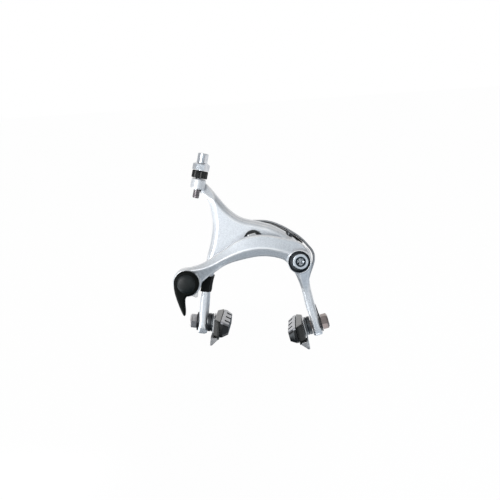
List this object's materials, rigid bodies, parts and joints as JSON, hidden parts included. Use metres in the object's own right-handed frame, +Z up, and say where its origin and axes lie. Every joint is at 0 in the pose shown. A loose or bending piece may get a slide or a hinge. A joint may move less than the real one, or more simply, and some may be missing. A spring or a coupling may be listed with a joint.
{
  "type": "rim brake caliper",
  "caption": "Dual-pivot side-pull rim brake caliper for a road bicycle: forged arms on a fork bracket, return spring, quick-release cable clamp, barrel adjuster and height-set brake shoes.",
  "frame": {"origin": "on the centre bolt's axis, on the face of the spacer that meets the fork crown", "axes": "+X to the right of someone facing the front of the brake, +Y back into the fork along the centre bolt, +Z up"},
  "size_m": [0.0954, 0.0736, 0.1238],
  "materials": {
    "forged_aluminium": "satin",
    "bright_steel": "polished",
    "dark_steel": "blackened",
    "warm_steel": "tinted plating",
    "spring_steel": "drawn wire",
    "bronze": "machined",
    "black_plastic": "moulded",
    "black_rubber": "moulded"
  },
  "bodies": {
    "bracket": {"mounting_bracket": "forged_aluminium", "center_bolt": "bright_steel", "fork_spacer": "forged_aluminium", "sleeve_nut": "dark_steel", "center_thrust_washer": "bronze", "side_thrust_washer": "bronze", "center_seal_ring": "black_plastic", "center_pivot_nut": "bright_steel", "side_pivot_bolt": "bright_steel", "side_pivot_washer": "dark_steel", "return_spring": "spring_steel", "spring_seat": "black_plastic"},
    "c_arm": {"c_arm": "forged_aluminium", "right_spring_slider": "black_plastic"},
    "quick_release": {"release_lever": "black_plastic", "release_cap": "black_plastic", "release_spindle": "bright_steel", "cable_clamp_washer": "bright_steel", "cable_clamp_bolt": "bright_steel"},
    "y_arm": {"y_arm": "forged_aluminium", "left_leg_sleeve": "black_plastic"},
    "centering_screw": {"centering_screw": "dark_steel"},
    "adjuster_ring": {"adjuster_ring": "black_plastic"},
    "adjuster_barrel": {"adjuster_barrel": "bright_steel"},
    "left_height": {"left_dished_washer": "dark_steel", "left_outer_washer": "black_plastic"},
    "left_toe": {"left_stud": "dark_steel", "left_nut": "bright_steel", "left_domed_washer": "dark_steel"},
    "left_shoe": {"left_wheel_guide": "bright_steel", "left_holder": "black_plastic", "left_pad": "black_rubber"},
    "right_height": {"right_dished_washer": "dark_steel", "right_outer_washer": "black_plastic"},
    "right_toe": {"right_stud": "dark_steel", "right_nut": "warm_steel", "right_domed_washer": "dark_steel"},
    "right_shoe": {"right_wheel_guide": "bright_steel", "right_holder": "black_plastic", "right_pad": "black_rubber"}
  },
  "joints": [
    {"name": "c_arm_pivot", "type": "hinge", "parent": "bracket", "child": "c_arm", "pos_m": [0.0287, -0.015, -0.0142], "axis": [0, 1, 0], "range_deg": [0, 13], "stiffness_Nm_per_rad": 1.2, "springref_deg": -17.19, "deforming": ["return_spring"]},
    {"name": "y_arm_pivot", "type": "hinge", "parent": "bracket", "child": "y_arm", "pos_m": [0, -0.015, 0], "axis": [0, 1, 0], "range_deg": [-10, 0]},
    {"name": "release_lever_turn", "type": "hinge", "parent": "c_arm", "child": "quick_release", "pos_m": [-0.0421, -0.0314, -0.0231], "axis": [0, 1, 0], "range_deg": [0, 100]},
    {"name": "adjuster_ring_turn", "type": "hinge", "parent": "y_arm", "child": "adjuster_ring", "pos_m": [-0.03435, -0.016, 0.02777], "axis": [0.243, 0.071, 0.9674], "range_deg": [0, 2881]},
    {"name": "adjuster_barrel_rise", "type": "slide", "parent": "y_arm", "child": "adjuster_barrel", "axis": [0.243, 0.071, 0.9674], "range_m": [0, 0.008]},
    {"name": "centering_screw_turn", "type": "hinge", "parent": "y_arm", "child": "centering_screw", "pos_m": [0.02249, -0.0142, 0.00124], "axis": [0.6157, 0, 0.788], "range_deg": [-180, 180]},
    {"name": "left_shoe_height", "type": "slide", "parent": "y_arm", "child": "left_height", "axis": [0.1495, 0, 0.9888], "range_m": [-0.0015, 0.0085]},
    {"name": "left_shoe_toe_in", "type": "hinge", "parent": "left_height", "child": "left_toe", "pos_m": [-0.035, -0.015, -0.05078], "axis": [0.1495, 0, 0.9888], "range_deg": [-1.5, 1.5]},
    {"name": "left_shoe_tilt", "type": "hinge", "parent": "left_toe", "child": "left_shoe", "pos_m": [-0.035, -0.015, -0.05078], "axis": [0.9888, 0, -0.1495], "range_deg": [-12, 12]},
    {"name": "right_shoe_height", "type": "slide", "parent": "c_arm", "child": "right_height", "axis": [-0.2147, 0, 0.9767], "range_m": [-0.0015, 0.0085]},
    {"name": "right_shoe_toe_in", "type": "hinge", "parent": "right_height", "child": "right_toe", "pos_m": [0.03556, -0.015, -0.05618], "axis": [-0.2147, 0, 0.9767], "range_deg": [-1.5, 1.5]},
    {"name": "right_shoe_tilt", "type": "hinge", "parent": "right_toe", "child": "right_shoe", "pos_m": [0.03556, -0.015, -0.05618], "axis": [-0.9767, 0, -0.2147], "range_deg": [-12, 12]}
  ],
  "couplings": [
    {"joint": "y_arm_pivot", "follows": "c_arm_pivot", "ratio": -0.76},
    {"joint": "adjuster_ring_turn", "follows": "adjuster_barrel_rise", "rad_per_m": 6283.2}
  ]
}
